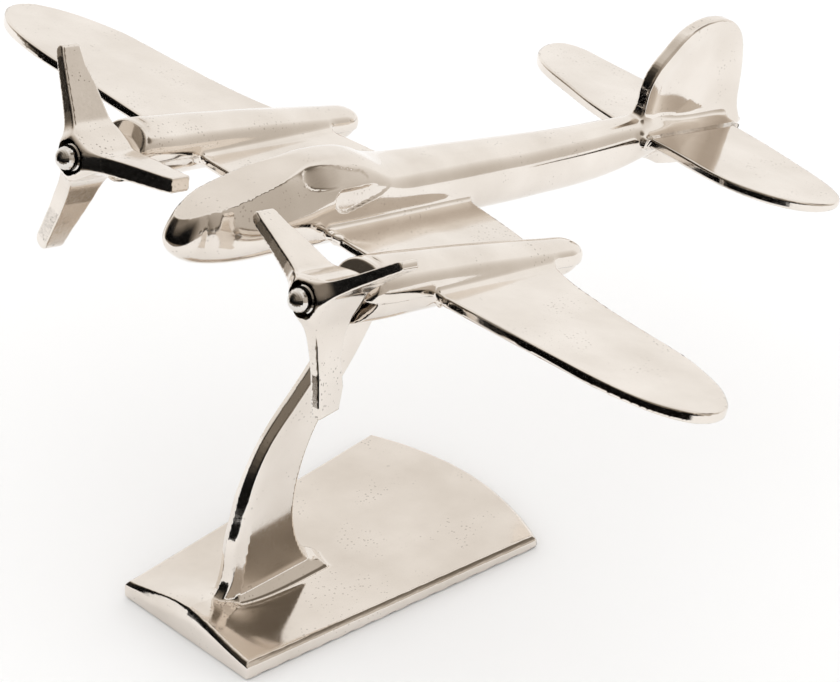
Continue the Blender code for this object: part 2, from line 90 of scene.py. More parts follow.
def outline_distance(outline, u, v):
    """Signed distance of the points (u, v) to a closed polyline, negative inside."""
    best = np.full(len(u), 1e9)
    inside = np.zeros(len(u), bool)
    for (au, av), (bu, bv) in zip(outline, np.roll(outline, -1, 0)):
        du, dv = bu - au, bv - av
        t = np.clip(((u - au) * du + (v - av) * dv) / (du * du + dv * dv), 0, 1)
        best = np.minimum(best, (u - au - t * du) ** 2 + (v - av - t * dv) ** 2)
        if av != bv:
            crosses = (av > v) != (bv > v)
            inside ^= crosses & (u < au + (v - av) * du / dv)
    return np.where(inside, -1, 1) * np.sqrt(best)


# --- fields --------------------------------------------------------------------
def join(a, b, fillet):
    """Union of two fields, with a fillet where they meet."""
    h = np.clip(fillet - np.abs(a - b), 0, None) / fillet
    return np.minimum(a, b) - h**3 * fillet / 6


def trim(a, b, fillet):
    """What two fields share, with a rounded edge where they meet."""
    return -join(-a, -b, fillet)


def slab(edge, across, half, rounding):
    """Plate with rounded edges: edge is the distance outside its outline, across that from its middle."""
    u = edge + rounding
    v = np.abs(across) - half + rounding
    return np.hypot(np.maximum(u, 0), np.maximum(v, 0)) + np.minimum(np.maximum(u, v), 0) - rounding


def near(low, high, shape):
    """The shape's field inside a box, and plain REACH beyond it."""
    low, high = np.array(low, float) - REACH, np.array(high, float) + REACH

    def field(p):
        here = np.all((p > low) & (p < high), axis=1)
        out = np.full(len(p), REACH)
        out[here] = np.minimum(shape(p[here]), REACH)
        return out

    return field


def egg(x, z, u, half, tall, power):
    """Distance to a rounded body: x and z across it, u from 0 to 1 along its rounded end."""
    a, b, c = (np.abs(x) / half) ** power, (np.abs(z) / tall) ** power, np.clip(u, 0, None) ** power
    r = np.maximum(a + b + c, 1e-9) ** (1 / power)
    steep = r ** (1 - power)
    gx = (np.abs(x) / half) ** (power - 1) * steep / half
    gz = (np.abs(z) / tall) ** (power - 1) * steep / tall
    least = 0.35 / np.maximum(half, tall)  # keeps the distance finite where the slope vanishes
    return (r - 1) / np.maximum(np.hypot(gx, gz), least)


# --- fuselage ------------------------------------------------------------------
BODY_MIDDLE = spline([(-60, 145.8), (-38, 146.8), (-20, 147.2), (5, 147.5), (55, 147.6), (105, 148.0),
                      (130, 149.0), (155, 151.0), (178, 152.0), (206, 151.4)])
BODY_HALF = spline([(-60, 10.4), (-48, 13.6), (-36, 14.8), (-20, 14.8), (5, 14.0), (30, 12.7), (55, 11.6),
                    (80, 10.6), (105, 9.3), (130, 8.0), (155, 6.2), (166, 4.8), (178, 3.4), (196, 2.6),
                    (206, 2.2)])
BODY_UP = spline([(-60, 14.4), (-50, 14.4), (-40, 14.9), (-30, 16.8), (-20, 18.0), (-10, 19.6), (0, 19.4),
                  (8, 17.6), (15, 14.8), (22, 12.9), (30, 12.1), (55, 11.4), (80, 10.9), (105, 10.2),
                  (130, 9.6), (155, 7.2), (166, 4.6), (178, 2.9), (196, 2.5), (206, 2.0)])
BODY_DOWN = spline([(-60, 13.6), (-40, 12.8), (-20, 12.7), (5, 12.7), (30, 12.1), (55, 11.4), (80, 10.9),
                    (105, 10.4), (130, 9.6), (145, 7.8), (158, 5.4), (178, 2.6), (206, 1.9)])
NOSE_TIP, NOSE_FROM, NOSE_LEAN, BODY_POWER = -68.8, -35.2, -0.24, 2.4
TAIL_END, TAIL_FROM = 205.6, 190.0

# The flat deck on the nose and the canopy behind it: height and half width of the roof, slope of the sides.
ROOF = spline([(-72, 148.0), (-68, 149.8), (-60, 152.75), (-50, 155.6), (-40, 158.3), (-30, 161.1),
               (-21, 163.9), (-18, 164.9), (-10, 165.8), (0, 165.9), (6, 165.2), (11, 163.6), (16, 161.7),
               (22, 160.5), (30, 160.2), (40, 163.0), (60, 172.0)])
ROOF_HALF = spline([(-72, 1.6), (-68, 3.0), (-60, 7.2), (-50, 8.9), (-40, 8.8), (-30, 8.2), (-20, 6.2),
                    (-12, 6.0), (-5, 6.2), (4, 6.4), (10, 7.6), (16, 11.0), (24, 18.0), (40, 40.0)])
SIDE_SLOPE = spline([(-70, radians(66)), (-40, radians(64)), (-20, radians(53)), (20, radians(53))])
ROOF_ROUND = spline([(-70, 0.5), (-28, 0.7), (-18, 2.2), (-6, 4.4), (20, 4.4)])
WINDOW = smooth_outline([(-21.6, 160.6), (-20.4, 162.8), (-17, 163.8), (-12, 163.8), (-6, 163.1), (0, 161.9),
                         (4.6, 160.4), (5.4, 159.3), (3.6, 158.5), (-1, 158.0), (-9, 157.7), (-17, 157.8),
                         (-20.6, 158.8)])
ROOT_HOLLOW = smooth_outline([(-4.4, 156.9), (3.2, 157.1), (9, 157.0), (15.4, 156), (12.6, 154.4), (6, 152.4),
                              (-0.6, 150.8), (-7.6, 150.2), (-10.0, 152.6), (-9.6, 155.2)])
ROOF_FALL = 0.95  # the roof slopes along the nose, so heights above it are shortened to distances
SHOULDER_ROUND = 4.0

# The side window and the hollow above the wing root are pressed into the side. Each has a depth, and rounds
# its corners and its rim.
WINDOW_DEPTH, WINDOW_CORNER, WINDOW_RIM = 0.55, 0.7, 0.5
HOLLOW_DEPTH, HOLLOW_CORNER, HOLLOW_RIM = 0.5, 0.8, 0.9
HOLLOW_X, HOLLOW_Z, HOLLOW_LEAN = 12.5, 157, 0.27


def fuselage_hull(p):
    """Rounded body of the fuselage, before its deck, canopy sides and pressed hollows."""
    x, y, z = p.T
    z = z - BODY_MIDDLE(y)
    nose = (NOSE_FROM - y - NOSE_LEAN * z) / (NOSE_FROM - NOSE_TIP)
    tail = (y - TAIL_FROM) / (TAIL_END - TAIL_FROM)
    tall = np.where(z > 0, BODY_UP(y), BODY_DOWN(y))
    return egg(x, z, np.maximum(nose, tail), BODY_HALF(y), tall, BODY_POWER)


def fuselage(p):
    x, y, z = np.abs(p[:, 0]), p[:, 1], p[:, 2]
    slope = SIDE_SLOPE(y)
    roof = (z - ROOF(y)) * ROOF_FALL
    flank = (x - ROOF_HALF(y)) * np.sin(slope) + (z - ROOF(y)) * np.cos(slope)
    body = trim(trim(fuselage_hull(p), flank, SHOULDER_ROUND), roof, ROOF_ROUND(y))
    window = trim(outline_distance(WINDOW, y, z), -flank - WINDOW_DEPTH, WINDOW_CORNER)
    body = trim(body, -window, WINDOW_RIM)
    side = x + HOLLOW_LEAN * (z - HOLLOW_Z) - HOLLOW_X
    hollow = trim(outline_distance(ROOT_HOLLOW, y, z), -side - HOLLOW_DEPTH, HOLLOW_CORNER)
    return trim(body, -hollow, HOLLOW_RIM)


# --- wings, tailplanes and fin ------------------------------------------------
WING = smooth_outline([
    (-40, -12.6), (0, -12.6), (30, -13.4), (56, -13.8), (95, -13.0), (120, -12.3), (136, -11.6), (148, -9.8),
    (157, -6.8), (163.5, -2.6), (167.4, 1.6), (169.2, 8.0), (167.4, 14.4), (163.5, 18.6), (157, 23.4),
    (148, 27.4), (136, 31.0), (120, 32.8), (95, 35.6), (75, 39.8), (56, 46.6), (30, 53.4), (0, 59.0),
    (-40, 60.0),
])
TAILPLANES = {
    1: smooth_outline([
        (-20, 147.3), (3, 147.3), (28, 147.4), (42, 147.3), (54, 150.2), (61.6, 154.0), (68, 159.4),
        (72.4, 166.4), (73.6, 172.0), (71.2, 178.4), (66, 182.2), (56, 185.4), (42, 187.8), (28, 189.8),
        (3, 192.6), (-20, 194.0),
    ]),
    -1: smooth_outline([
        (-20, 146.4), (3, 147.0), (15, 148.8), (28, 151.4), (36, 153.8), (46, 156.7), (54, 159.2),
        (60.6, 162.4), (66, 167.0), (70, 173.4), (71.6, 179.4), (70.6, 185.2), (66.4, 188.4),
        (58, 189.4), (42, 189.8), (28, 190.2), (3, 192.0), (-20, 194.0),
    ]),
}
FIN = smooth_outline([
    (149.0, 150.0), (147.6, 155.0), (148.6, 163.0), (149.0, 170.0), (151.8, 177.0), (157.2, 183.0),
    (162.8, 188.4), (169.6, 191.8), (178.0, 193.2), (186.4, 191.6), (193.6, 185.6), (196.4, 179.0),
    (198.8, 167.0), (200.6, 158.0), (202.0, 153.0), (200.0, 150.0),
])
WING_TOP, DIHEDRAL = 144.4, 0.024
WING_HALF = spline([(-14, 1.7), (0, 2.0), (20, 1.7), (45, 1.0), (60, 0.85)])
TAILPLANE_HALF = spline([(147, 1.75), (160, 1.8), (175, 1.35), (192, 0.9)])
TAILPLANE_TOP, TAILPLANE_REACH = 154.6, 74
FIN_HALF = spline([(0, 2.5), (4.4, 2.45), (6.4, 2.0), (25, 1.7), (48, 1.1), (60, 1.0)])
FIN_THINS_FROM, FIN_THINS_OVER, FIN_THINNEST = 175, 80, 0.6
EDGE_ROUND = 0.8


def wing(p):
    x, y, z = np.abs(p[:, 0]), p[:, 1], p[:, 2]
    half = WING_HALF(y)
    top = WING_TOP + DIHEDRAL * x
    return slab(outline_distance(WING, x, y), z - top + half, half, EDGE_ROUND)


def tailplane(side):
    def field(p):
        x, y, z = p[:, 0] * side, p[:, 1], p[:, 2]
        half = TAILPLANE_HALF(y)
        return slab(outline_distance(TAILPLANES[side], x, y), z - TAILPLANE_TOP + half, half, EDGE_ROUND)

    tip = TAILPLANE_REACH * side
    return near((min(0, tip), 147, 150), (max(0, tip), 193, 155), field)


def fin(p):
    x, y, z = p.T
    edge = outline_distance(FIN, y, z)
    half = FIN_HALF(-edge) * np.clip(1 - (y - FIN_THINS_FROM) / FIN_THINS_OVER, FIN_THINNEST, 1)
    return slab(edge, x, half, EDGE_ROUND)


# --- engine nacelles ----------------------------------------------------------
NACELLE_HALF = spline([(-42, 10.6), (-30, 10.9), (-15, 10.3), (5, 9.3), (25, 8.2), (45, 7.0), (60, 6.2)])
NACELLE_UP = spline([(-42, 9.4), (-30, 9.7), (-15, 9.5), (5, 8.8), (25, 7.9), (45, 6.8), (60, 6.2)])
NACELLE_DOWN = spline([(-42, 10.5), (-30, 10.5), (-15, 9.8), (5, 9.0), (25, 8.0), (45, 6.8), (60, 5.8)])
NACELLE_MIDDLE = spline([(-42, 146.2), (-15, 145.6), (25, 144.6), (65, 143.4)])
NACELLE_FRONT, NACELLE_NOSE, NACELLE_ENDS = -41.6, -36.0, {1: 63.0, -1: 67.0}
NOSE_ROUND, TAIL_ROUND, NACELLE_EDGE = 3.0, 9.0, 0.8

# The crown is the upper half and overhangs the narrower belly. Each ends in a leaning flat front.
CROWN_RAISE, CROWN_FLOOR, CROWN_POWER = 1.0, -0.6, 2.3
BELLY_NARROWER, BELLY_POWER = 1.0, 2.0
FACE_FRONT, FACE_HEIGHT, FACE_LEAN = -40.8, 3.0, radians(32)
PROW_FRONT, PROW_DROP, PROW_LEAN = -43.0, 10.4, radians(24)


def nacelle(side):
    end = NACELLE_ENDS[side]

    def field(p):
        x, y, z = p.T
        x, z = x - side * ENGINE_X, z - NACELLE_MIDDLE(y)
        tail = (y - end + TAIL_ROUND) / TAIL_ROUND
        nose = (NACELLE_NOSE - y) / (NACELLE_NOSE - NACELLE_FRONT + NOSE_ROUND)
        half, tall = NACELLE_HALF(y), NACELLE_UP(y) - CROWN_RAISE
        crown = egg(x, z - CROWN_RAISE, np.maximum(nose, tail), half, tall, CROWN_POWER)
        crown = trim(crown, CROWN_FLOOR - z, NACELLE_EDGE)
        face = (FACE_FRONT - y) * cos(FACE_LEAN) + (z - FACE_HEIGHT) * sin(FACE_LEAN)
        crown = trim(crown, face, NACELLE_EDGE)
        belly = egg(x, z, tail, half - BELLY_NARROWER, NACELLE_DOWN(y), BELLY_POWER)
        prow = (PROW_FRONT - y) * cos(PROW_LEAN) + (z + PROW_DROP) * sin(PROW_LEAN)
        belly = trim(belly, prow, NACELLE_EDGE)
        return join(crown, belly, NACELLE_EDGE)

    middle = side * ENGINE_X
    return near((middle - 12, NACELLE_FRONT - 3, 133), (middle + 12, end, 157), field)


# --- the whole airframe -------------------------------------------------------
WELD_SPOTS = [(18.0, 3.4), (45.4, 2.6), (69.6, 3.0)]  # distance from the middle, and size
WELD_Y, WELD_Z, WELD_FILLET = -12.4, 143.4, 1.0
CAST_FILLET, BEAD_FILLET = 5.0, 1.2


def weld_beads(p):
    """Rough beads where the wing edges meet the fuselage and the nacelles."""
    x, y, z = np.abs(p[:, 0]), p[:, 1], p[:, 2]
    out = np.full(len(p), REACH)
    for spot, size in WELD_SPOTS:
        for k in range(4):
            turn = 2.4 * k + spot  # spreads the four beads of a spot unevenly
            bead_x, bead_y = spot + 1.9 * cos(turn), WELD_Y + 1.3 * sin(turn)
            bead_z = WELD_Z + 1.2 * cos(turn * 1.7)
            radius = size * (0.42 + 0.1 * sin(3.1 * turn))
            r = np.sqrt((x - bead_x) ** 2 + (y - bead_y) ** 2 + (z - bead_z) ** 2)
            out = join(out, r - radius, WELD_FILLET)
    return out


WAVE_HEIGHTS = (0.035, 0.03)


def waves(p):
    """Faint hand-polished unevenness of the castings, from two crossing sets of uneven ripples."""
    x, y, z = p.T
    long = np.sin(x / 6.1 + 1.3 * np.sin(y / 9.7)) * np.sin(y / 7.3 + z / 8.1)
    short = np.sin(y / 4.9 + x / 13.0) * np.sin(z / 5.7 + x / 9.1 + 1.0)
    return WAVE_HEIGHTS[0] * long + WAVE_HEIGHTS[1] * short


near_fuselage = near((-15, NOSE_TIP, 134), (15, TAIL_END, 167), fuselage)
near_beads = near((-74, -17, 139), (74, -8, 148), weld_beads)
joined_castings = [
    near((-169, -14, 140), (169, 60, 149), wing),
    nacelle(1), nacelle(-1), tailplane(1), tailplane(-1),
    near((-3, 146, 146), (3, 204, 194), fin),
]


def airframe(p):
    d = near_fuselage(p)
    for casting in joined_castings:
        d = join(d, casting(p), CAST_FILLET)
    d = join(d, near_beads(p), BEAD_FILLET)
    return d + waves(p)


# --- strut and base, in world axes ---------------------------------------------
STRUT = smooth_outline([
    (-53.4, 2.0), (-53.4, 6.3), (-48.6, 10.0), (-45.6, 14.0), (-43.9, 19.2), (-42.0, 30.7), (-40.1, 36.0),
    (-37.8, 43.2), (-32.4, 54.9), (-23.5, 67.0), (-12.3, 77.0), (-1.1, 87.6), (18.6, 108.0), (38.0, 131.0),
    (46.0, 132.0), (52.0, 127.0), (33.4, 105.2), (15.0, 84.2), (6.2, 74.4), (-1.5, 65.6), (-7.8, 56.2),
    (-11.8, 47.6), (-14.1, 40.0), (-15.0, 34.2), (-14.5, 25.6), (-12.3, 18.2), (-7.7, 10.9), (-2.1, 6.0),
    (-2.1, 2.0),
])
STRUT_HALF = spline([(0, 5.4), (8, 5.0), (20, 4.6), (40, 4.2), (57, 3.5), (80, 3.0), (110, 3.2), (132, 4.2)])
WEDGE = 0.5  # how far the strut's front is bevelled back, for each millimetre off its middle
STRUT_FACE = spline([(0, 0.5), (20, 0.7), (34, 1.3), (55, 2.1), (80, 2.2), (132, 2.6)])
STRUT_ROUND = 0.6

# The strut widens from its front to its full width. The front runs back with height, faster above the knee.
FRONT_Y, KNEE_Z, LOW_SLOPE, HIGH_SLOPE = -55, 45, 0.22, 0.62
WIDENS_OVER, WIDENS_BY = 26, 2.2


def strut(p):
    x, y, z = p.T
    edge = outline_distance(STRUT, y, z)
    full, face = STRUT_HALF(z), STRUT_FACE(z)
    front = FRONT_Y + HIGH_SLOPE * np.clip(z - KNEE_Z, 0, None) + LOW_SLOPE * np.clip(z, 0, KNEE_Z)
    share = np.clip((y - front) / WIDENS_OVER, 0, 1)
    half = np.minimum(full, face + (full - face) * (share * WIDENS_BY))
    return slab(edge + WEDGE * np.abs(x) - STRUT_ROUND, x, half, STRUT_ROUND)


BASE = [(-31.4, -61.5), (31.4, -61.5), (42.6, 62.5), (38.0, 64.6), (30.0, 67.6), (20.0, 70.2), (10.0, 71.9),
        (0.0, 72.5), (-10.0, 71.9), (-20.0, 70.2), (-30.0, 67.6), (-38.0, 64.6), (-42.6, 62.5)]
BASE_THICK = spline([(-61.5, 6.4), (62.5, 4.5)])
CREST = spline([(-61.5, 5.6), (-54.0, 5.2), (-44.0, 2.6), (-34.0, 0.7), (-24.0, 0.0), (-10.0, 0.0)])
CREST_ACROSS = spline([(0, 1.0), (8, 0.82), (16, 0.5), (24, 0.2), (31.4, 0.0)])
BASE_ROUND, CHAMFER = 0.5, 1.5
LIP = spline([(-31.4, 0.4), (-22, 2.3), (-10, 3.0), (0, 2.6), (10, 2.0), (22, 1.2), (31.4, 0.4)])
LIP_LEAN, LIP_SET_BACK, LIP_ROUND = radians(24), 0.55, 0.8
CHAMFER_ROUND, UNDERSIDE_ROUND = 0.6, 0.4


def base(p):
    """Fan-shaped plate with a chamfered rim, a crest at the front and a leaning front lip."""
    x, y, z = p.T
    edge = outline_distance(np.array(BASE, float), x, y)
    top = BASE_THICK(y) + CREST(y) * CREST_ACROSS(np.abs(x))
    d = trim(edge, z - top, BASE_ROUND)
    d = trim(d, (edge + z - top + CHAMFER) * cos(radians(45)), CHAMFER_ROUND)
    lip = (BASE[0][1] - y) * cos(LIP_LEAN) + (z - top + LIP(x)) * sin(LIP_LEAN)
    d = trim(d, lip + LIP_SET_BACK * LIP(x) * sin(LIP_LEAN), LIP_ROUND)
    return trim(d, -z, UNDERSIDE_ROUND)


PLINTH_MIDDLE, PLINTH_HALF_Y, PLINTH_HALF_X, PLINTH_FOOT, PLINTH_TOP = -24.0, 21.0, 8.6, 5.0, 9.0
PLINTH_SLOPE, PLINTH_SLANT, PLINTH_CORNER, PLINTH_RIM = 0.8, 0.78, 0.6, 0.8


def plinth(p):
    """Low block with sloping sides that carries the foot of the strut."""
    x, y, z = p.T
    drawn_in = (z - PLINTH_FOOT) * PLINTH_SLOPE
    side = (np.abs(x) - PLINTH_HALF_X + drawn_in) * PLINTH_SLANT
    ends = (np.abs(y - PLINTH_MIDDLE) - PLINTH_HALF_Y + drawn_in) * PLINTH_SLANT
    return trim(trim(side, ends, PLINTH_CORNER), z - PLINTH_TOP, PLINTH_RIM)


near_plinth = near((-10, -46, 2), (10, -2, 10), plinth)
near_strut = near((-6, -56, 2), (6, 54, 133), strut)
FOOT_FILLET, BASE_FILLET, STAND_WAVES = 4.0, 2.0, 0.6
UNDERSIDE_Z = 0.06  # the skin stops just above the floor


def stand(p):
    foot = join(near_plinth(p), near_strut(p), FOOT_FILLET)
    whole = join(base(p), foot, BASE_FILLET) + STAND_WAVES * waves(p)
    return trim(whole, UNDERSIDE_Z - p[:, 2], UNDERSIDE_ROUND)


# --- propellers ---------------------------------------------------------------
# Edges of every vane near the hub, radius against Y. The tip corners come between them.
VANE_FRONT = [(-4, -61.3), (6, -60.9), (15, -58.7), (25, -57.0)]
VANE_BACK = [(22, -45.0), (10, -43.9), (-4, -43.6)]
HUB_Y, HUB_RADIUS, HUB_HALF, HUB_ROUND, BORE = -52.4, 6.0, 9.0, 1.6, 2.1
ROOT_HALF, NECK_HALF = 3.2, 3.0  # half thickness of every vane at the shaft and at 8 mm
VANE_ROUND, TIP_ROUND, BORE_ROUND, VANE_FILLET = 0.8, 1.0, 0.2, 8.0


def vane_outline(tip, front, back):
    """Side view of a vane, radius against Y. Its tip lies at one radius, between a front and a rear Y."""
    tip_corners = [(tip - 4.0, front - 1.2), (tip, front), (tip, back), (tip - 8.0, back + 0.4)]
    return np.array(VANE_FRONT + tip_corners + VANE_BACK, float)


def propeller(side, blades):
    outlines = [vane_outline(tip, front, back) for _, tip, _, front, back, _, _ in blades]

    def field(p):
        x, y, z = p[:, 0] - side * ENGINE_X, p[:, 1], p[:, 2] - SHAFT_Z
        from_shaft = np.hypot(x, z)
        out = slab(from_shaft - HUB_RADIUS, y - HUB_Y, HUB_HALF, HUB_ROUND)
        for (angle, tip, twist, _, _, thick, rounded), shape in zip(blades, outlines):
            a = radians(angle)
            along, across = x * cos(a) + z * sin(a), z * cos(a) - x * sin(a)
            across = across - twist * (y - HUB_Y) * np.clip(along / tip, 0, 1)
            half = np.interp(along, (0, 8, 20, tip), (ROOT_HALF, NECK_HALF, 0.3 + thick, thick))
            vane = slab(outline_distance(shape, along, y), across, half, VANE_ROUND)
            if rounded:
                cap = np.hypot(np.maximum(along - tip + half, 0), across) - half
                vane = trim(vane, cap, TIP_ROUND)
            out = join(out, vane, VANE_FILLET)
        return trim(out, BORE - from_shaft, BORE_ROUND) + waves(p)

    return field


# Each vane: angle about the shaft, tip radius, twist, front and rear Y of the tip, half thickness, and
# whether its tip is rounded.
PORT_BLADES = [
    (161.0, 38.1, 0.0, -54.4, -47.2, 2.3, True),
    (38.4, 37.5, 0.0, -54.4, -47.2, 1.9, True),
    (281.0, 39.9, -0.4, -54.8, -41.0, 1.9, False),
]
STARBOARD_BLADES = [
    (129.0, 37.4, 0.0, -54.4, -47.2, 2.1, True),
    (8.0, 39.7, 0.0, -54.4, -46.6, 2.7, False),
    (249.0, 42.5, 0.0, -54.4, -46.8, 2.9, True),
]


# --- skins --------------------------------------------------------------------
def sampled(field, low, high, cell, block=4, blocks_at_once=4000):
    """The field on a grid. Blocks far from the surface keep the value at their middle."""
    count = np.ceil((np.array(high) - low) / (cell * block)).astype(int)
    middles = [low[k] + (np.arange(count[k]) + 0.5) * cell * block for k in range(3)]
    points = np.stack(np.meshgrid(*middles, indexing="ij"), -1).reshape(-1, 3)
    coarse = field(points).reshape(count)
    values = coarse.repeat(block, 0).repeat(block, 1).repeat(block, 2).astype(np.float32)
    close = np.argwhere(np.abs(coarse) < cell * block * 1.25)
    steps = np.stack(np.meshgrid(*[np.arange(block)] * 3, indexing="ij"), -1).reshape(-1, 3)
    for part in np.array_split(close, max(1, len(close) // blocks_at_once)):
        index = (part[:, None, :] * block + steps).reshape(-1, 3)
        values[tuple(index.T)] = field(low + (index + 0.5) * cell)
    return values


def slopes(field, p, step=0.04):
    """Gradient of the field by central differences."""
    out = np.empty_like(p)
    for k in range(3):
        ahead, behind = p.copy(), p.copy()
        ahead[:, k] += step
        behind[:, k] -= step
        out[:, k] = (field(ahead) - field(behind)) / (2 * step)
    return out


def net(field, low, high, cell):
    """Surface net on the zero level: (points, quads, normals), with the points moved onto the surface."""
    low, high = np.array(low, float), np.array(high, float)
    values = sampled(field, low, high, cell)
    inside = values < 0
    corner = [inside[i : i - 1 or None, j : j - 1 or None, k : k - 1 or None]
              for i in (0, 1) for j in (0, 1) for k in (0, 1)]
    count = sum(c.astype(np.int8) for c in corner)
    cells = np.argwhere((count > 0) & (count < 8))
    number = np.full(count.shape, -1, np.int32)
    number[tuple(cells.T)] = np.arange(len(cells))

    total, hits = np.zeros((len(cells), 3)), np.zeros(len(cells))
    for axis in range(3):
        for i in (0, 1):
            for j in (0, 1):
                start = np.insert(np.array([i, j]), axis, 0)
                end = start.copy()
                end[axis] = 1
                a, b = values[tuple((cells + start).T)], values[tuple((cells + end).T)]
                cut = (a < 0) != (b < 0)
                t = np.where(cut, a / np.where(cut, a - b, 1), 0)
                total[cut] += (start + (end - start) * t[:, None])[cut]
                hits += cut
    points = low + (cells + total / hits[:, None] + 0.5) * cell

    for _ in range(3):  # three Newton steps, each kept within half a cell
        g = slopes(field, points)
        move = field(points)[:, None] * g / np.maximum((g * g).sum(1, keepdims=True), 0.05)
        points -= np.clip(move, -0.5 * cell, 0.5 * cell)
    normals = slopes(field, points)
    normals /= np.linalg.norm(normals, axis=1, keepdims=True)

    quads = []
    for axis in range(3):
        u, v = [k for k in range(3) if k != axis]
        ends = [slice(None)] * 3
        starts = [slice(None)] * 3
        ends[axis], starts[axis] = slice(1, None), slice(None, -1)
        edges = np.argwhere(inside[tuple(starts)] != inside[tuple(ends)])
        edges = edges[(edges[:, u] > 0) & (edges[:, v] > 0)]
        ring = []
        for du, dv in ((-1, -1), (0, -1), (0, 0), (-1, 0)):
            cell_at = edges.copy()
            cell_at[:, u] += du
            cell_at[:, v] += dv
            ring.append(number[tuple(cell_at.T)])
        ring = np.stack(ring, 1)
        flip = inside[tuple(edges.T)] == (axis == 1)
        ring[flip] = ring[flip][:, ::-1]
        quads.append(ring)
    return points, np.vstack(quads), normals


def to_world(p):
    """Points pitched nose up about PIVOT, and the turn that did it."""
    c, s = cos(PITCH), sin(PITCH)
    turn = np.array([[1, 0, 0], [0, c, s], [0, -s, c]])
    return (p - PIVOT) @ turn.T + PIVOT, turn


def skin(name, field, low, high, mat, body, replaced, pitch=True, cell=CELL):
    """One cast piece: the zero level of its field, riding a body in place of the CAD nodes it replaces."""
    points, quads, normals = net(field, low, high, cell)
    if pitch:
        points, turn = to_world(points)
        normals = normals @ turn.T
    mesh = bpy.data.meshes.new(name)
    mesh.from_pydata((points * MM).tolist(), [], quads.tolist())
    mesh.materials.append(mat)
    mesh.shade_smooth()
    mesh.normals_split_custom_set_from_vertices(normals.tolist())
    obj = bpy.data.objects.new(name, mesh)
    bpy.context.scene.collection.objects.link(obj)
    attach(obj, body)
    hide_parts(*replaced)


# --- materials ----------------------------------------------------------------
def nodes_of(name):
    mat = bpy.data.materials.new(name)
    mat.use_nodes = True
    tree = mat.node_tree
    return mat, tree, tree.nodes["Principled BSDF"]


def add(tree, kind, **values):
    node = tree.nodes.new(kind)
    for key, value in values.items():
        if key in node.inputs:
            node.inputs[key].default_value = value
        else:
            setattr(node, key, value)
    return node


def noise(tree, place, scale, detail, rough=0.5):
    node = add(tree, "ShaderNodeTexNoise", Scale=scale, Detail=detail, Roughness=rough)
    tree.links.new(place, node.inputs["Vector"])
    return node.outputs["Fac"]


def ramp(tree, value, low, high, out_low, out_high):
    node = add(tree, "ShaderNodeMapRange", clamp=True)
    for key, number in (("From Min", low), ("From Max", high), ("To Min", out_low), ("To Max", out_high)):
        node.inputs[key].default_value = number
    tree.links.new(value, node.inputs["Value"])
    return node.outputs["Result"]


def calculate(tree, operation, a, b):
    node = add(tree, "ShaderNodeMath", operation=operation)
    tree.links.new(a, node.inputs[0])
    tree.links.new(b, node.inputs[1])
    return node.outputs["Value"]


def times(tree, a, b):
    return calculate(tree, "MULTIPLY", a, b)


def largest(tree, first, *others):
    for other in others:
        first = calculate(tree, "MAXIMUM", first, other)
    return first


CLOUDS, GRAIN, MARKS, PITS, PIT_CLUSTERS = 38, 900, 2600, 620.0, 70  # pattern scales, in features per metre
PIT_TONE = (0.30, 0.26, 0.22)


def polished_metal(name, light, dark, rough, pitting, brushing):
    """Hand-polished casting: cloudy tone, buffing marks and clusters of casting pits."""
    mat, tree, shader = nodes_of(name)
    link = tree.links.new
    place = tree.nodes.new("ShaderNodeTexCoord").outputs["Object"]
    clouds = noise(tree, place, CLOUDS, 4)
    fine = noise(tree, place, GRAIN, 3)

    stretched = add(tree, "ShaderNodeMapping")
    stretched.inputs["Scale"].default_value = (1.0, 0.12, 1.0)
    stretched.inputs["Rotation"].default_value = (0.3, 0.1, 0.5)
    link(place, stretched.inputs["Vector"])
    marks = noise(tree, stretched.outputs["Vector"], MARKS, 2)

    spots = add(tree, "ShaderNodeTexVoronoi", Scale=PITS)
    link(place, spots.inputs["Vector"])
    clusters = ramp(tree, noise(tree, place, PIT_CLUSTERS, 3), 0.5, 0.66, 0.06, 0.24)
    depth = calculate(tree, "LESS_THAN", spots.outputs["Distance"], clusters)

    tone = tree.nodes.new("ShaderNodeValToRGB")
    tone.color_ramp.elements[0].position, tone.color_ramp.elements[1].position = 0.3, 0.7
    tone.color_ramp.elements[0].color = (*dark, 1)
    tone.color_ramp.elements[1].color = (*light, 1)
    link(clouds, tone.inputs["Fac"])
    pitted = tree.nodes.new("ShaderNodeMix")
    pitted.data_type = "RGBA"
    link(ramp(tree, depth, 0.0, 1.0, 0.0, pitting), pitted.inputs[0])
    link(tone.outputs["Color"], pitted.inputs[6])
    pitted.inputs[7].default_value = (*PIT_TONE, 1)
    link(pitted.outputs[2], shader.inputs["Base Color"])

    link(ramp(tree, fine, 0.35, 0.7, rough * 0.75, rough * 1.4), shader.inputs["Roughness"])
    shader.inputs["Metallic"].default_value = 1.0

    bump_marks = add(tree, "ShaderNodeBump", Strength=brushing, Distance=0.00005)
    link(marks, bump_marks.inputs["Height"])
    bump_pits = add(tree, "ShaderNodeBump", Strength=0.3 * pitting, Distance=0.0002, invert=True)
    link(depth, bump_pits.inputs["Height"])
    link(bump_marks.outputs["Normal"], bump_pits.inputs["Normal"])
    link(bump_pits.outputs["Normal"], shader.inputs["Normal"])
    return mat


SILVER, GREY_SILVER = (0.88, 0.825, 0.765), (0.76, 0.70, 0.635)
STEEL, GREY_STEEL = (0.80, 0.77, 0.73), (0.70, 0.67, 0.63)
# Each metal: light and dark tone, roughness, strength of the casting pits and of the buffing marks.
cast = polished_metal("polished_cast_metal", SILVER, GREY_SILVER, 0.085, 0.35, 0.05)
vane_metal = polished_metal("brushed_vane_metal", SILVER, GREY_SILVER, 0.12, 0.75, 0.12)
steel = polished_metal("polished_pin_steel", STEEL, GREY_STEEL, 0.09, 0.0, 0.04)


